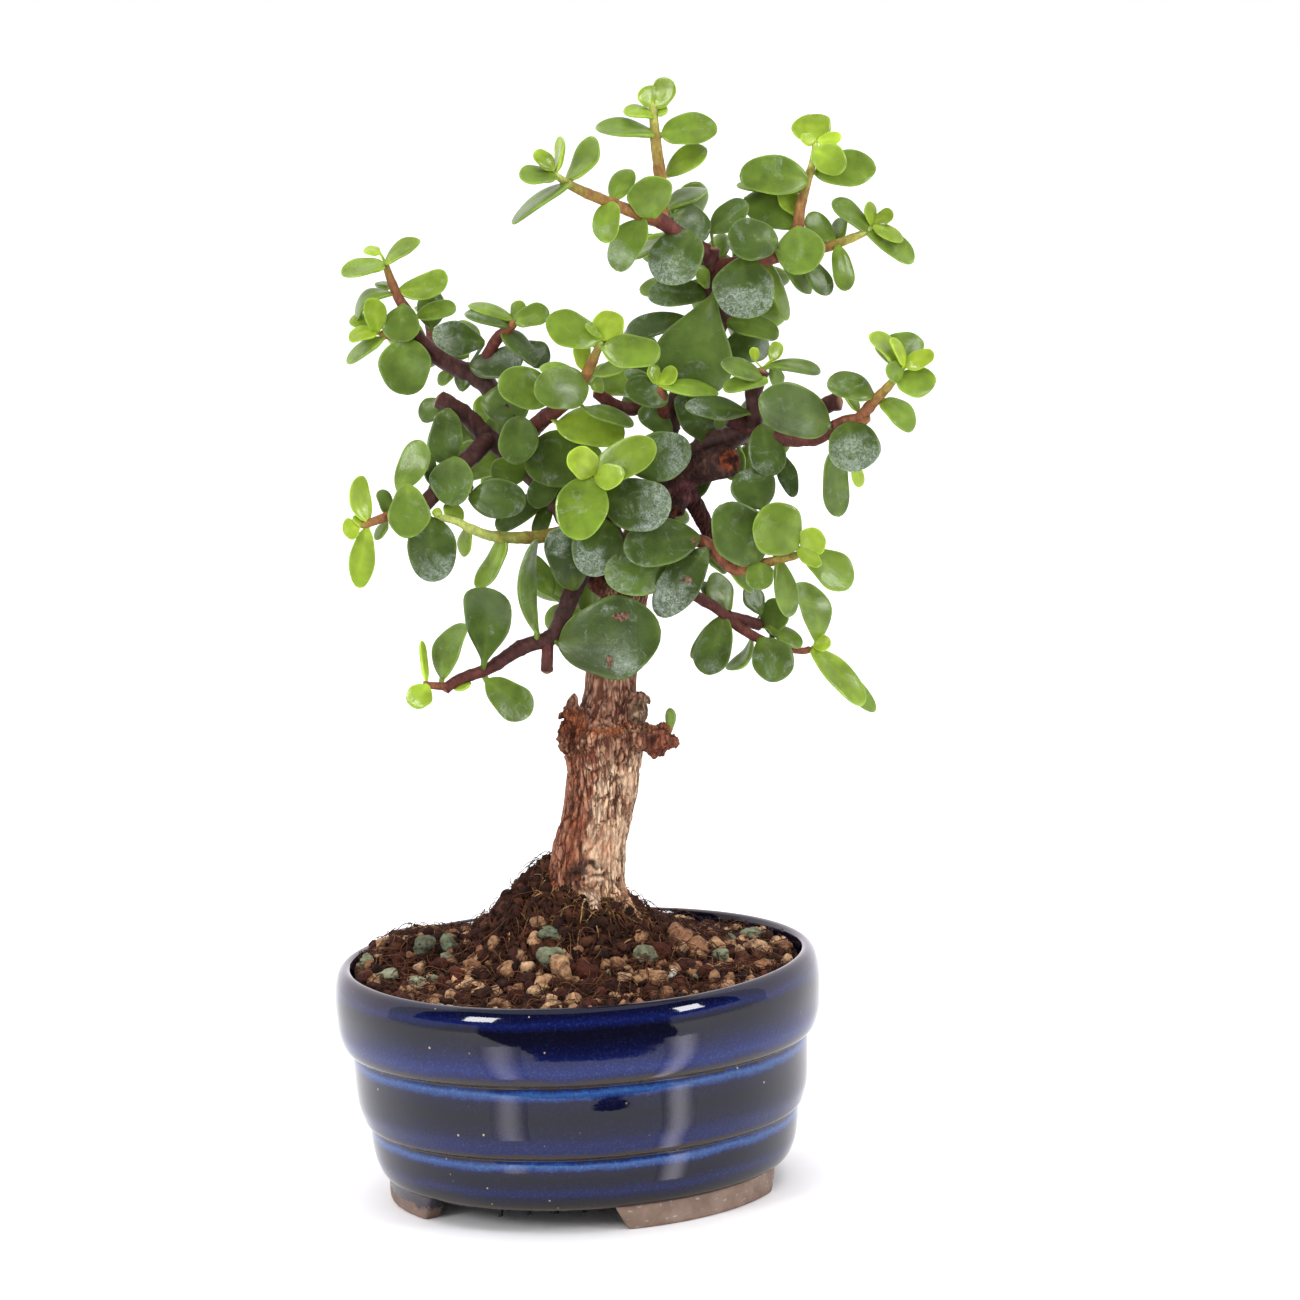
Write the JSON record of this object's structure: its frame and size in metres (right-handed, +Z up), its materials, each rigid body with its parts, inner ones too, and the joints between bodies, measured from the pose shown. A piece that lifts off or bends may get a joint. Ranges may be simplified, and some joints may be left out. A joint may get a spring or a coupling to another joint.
{
  "type": "dwarf jade bonsai in a pot",
  "caption": "Small informal upright dwarf jade with a swollen pale trunk and fleshy paired leaves, in a round three-footed stepped blue glazed pot.",
  "frame": {"origin": "on the table, under the middle of the whole object's bounding box", "axes": "+X to the viewer's right, +Y away from the viewer, +Z up; the viewer faces the tree's front"},
  "size_m": [0.1592, 0.125, 0.283],
  "materials": {
    "glaze": "glossy glazed stoneware in cobalt blue breaking to brown-black, unglazed feet",
    "net": "matt black plastic",
    "soil": "loose grit of akadama, lava and pumice with peat",
    "bark": "fissured pale tan bark",
    "shoot": "fleshy satin green leaves on red-brown stems"
  },
  "bodies": {
    "root": {"back_crown": "shoot", "back_leader": "shoot", "back_left": "shoot", "back_low": "shoot", "back_right": "shoot", "back_top": "shoot", "back_trunk": "shoot", "back_upper_left": "shoot", "centre_shoot": "shoot", "crown_left": "shoot", "crown_right": "shoot", "crown_top": "shoot", "drainage_net_1": "net", "drainage_net_2": "net", "drainage_net_3": "net", "front_shoot": "shoot", "inner_twig": "shoot", "leader": "shoot", "left_limb": "shoot", "left_mid": "shoot", "lower_left": "shoot", "lower_right": "shoot", "pale_left": "shoot", "pot": "glaze", "right_branch": "shoot", "right_limb": "shoot", "right_mid": "shoot", "soil": "soil", "trunk": "bark", "upper_left": "shoot", "upper_left_twig": "shoot"}
  },
  "joints": []
}
